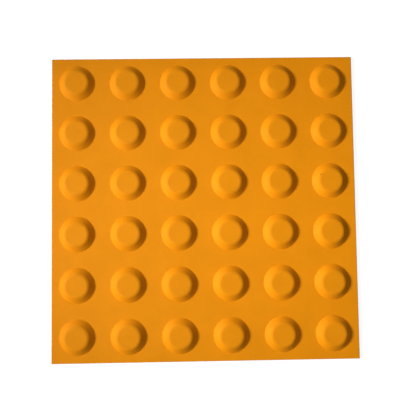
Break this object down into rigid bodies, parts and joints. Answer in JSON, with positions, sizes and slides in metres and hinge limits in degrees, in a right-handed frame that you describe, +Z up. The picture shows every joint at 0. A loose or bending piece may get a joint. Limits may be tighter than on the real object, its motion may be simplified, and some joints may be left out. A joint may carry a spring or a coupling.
{
  "type": "tactile paving tile",
  "caption": "Square one-piece moulded tactile paving tile: a thin flat plate with a regular grid of flat-topped round warning domes, felt underfoot and by cane.",
  "frame": {"origin": "middle of the flat underside", "axes": "+Z up through the domes, +X and +Y along the tile's sides"},
  "size_m": [0.3, 0.3, 0.008],
  "materials": {
    "moulded_polyurethane": "satin"
  },
  "bodies": {
    "root": {"tactile_tile": "moulded_polyurethane"}
  },
  "joints": []
}
